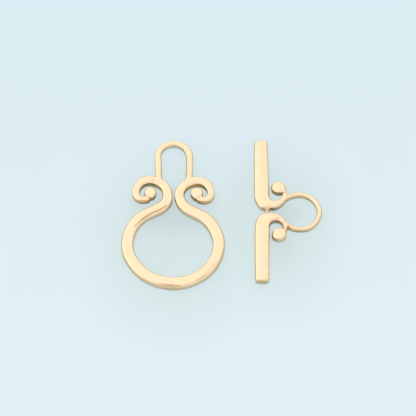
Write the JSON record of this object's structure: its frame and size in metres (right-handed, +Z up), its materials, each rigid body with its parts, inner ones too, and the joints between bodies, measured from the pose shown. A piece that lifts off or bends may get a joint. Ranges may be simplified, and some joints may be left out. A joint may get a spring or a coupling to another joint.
{
  "type": "toggle clasp",
  "caption": "Open toggle clasp lying flat: a round loop with scrolled ends and a wire bail, beside a long bar with hooks and an eye ring.",
  "frame": {"origin": "middle of the box round both halves, on the surface that they lie on", "axes": "+X from the loop half to the toggle half, +Y from the loop towards its bail, +Z up from the surface"},
  "size_m": [0.0292, 0.0262, 0.001],
  "materials": {
    "gold": "polished pale yellow gold"
  },
  "bodies": {
    "root": {"loop_half": "gold", "toggle_half": "gold"}
  },
  "joints": []
}
